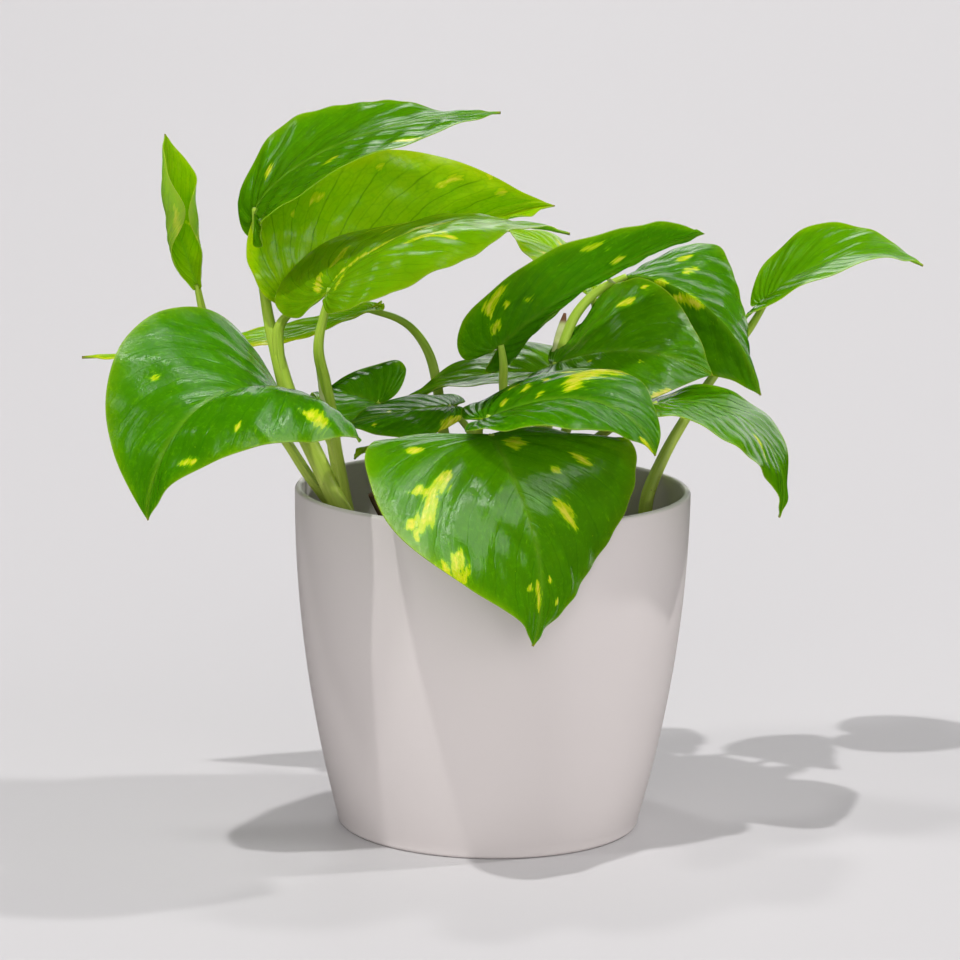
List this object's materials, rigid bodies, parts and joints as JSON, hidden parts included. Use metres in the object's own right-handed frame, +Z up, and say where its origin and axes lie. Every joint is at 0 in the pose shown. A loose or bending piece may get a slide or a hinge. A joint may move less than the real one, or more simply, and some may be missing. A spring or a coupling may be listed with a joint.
{
  "type": "potted pothos plant",
  "caption": "Trailing houseplant with heart-shaped leaves on leafy stems that stand in soil in a plain tapered white pot.",
  "frame": {"origin": "centre of the flat underside of the pot, on the surface it stands on", "axes": "+Z up along the pot's axis; -Y towards the front, where the largest leaf hangs over the rim; +X to the right"},
  "size_m": [0.2942, 0.2058, 0.2451],
  "materials": {
    "pot": "smooth satin warm white",
    "soil": "rough dark potting soil",
    "foliage": "waxy green with yellow flecks",
    "dry_stem": "dry brown stalk"
  },
  "bodies": {
    "root": {"pot": "pot", "soil": "soil", "stem_left": "foliage", "stem_outer_left": "foliage", "stem_back": "foliage", "sprout": "foliage", "stem_front": "foliage", "stem_middle": "foliage", "stem_right": "foliage", "stem_outer_right": "foliage", "dry_stem": "dry_stem"}
  },
  "joints": []
}
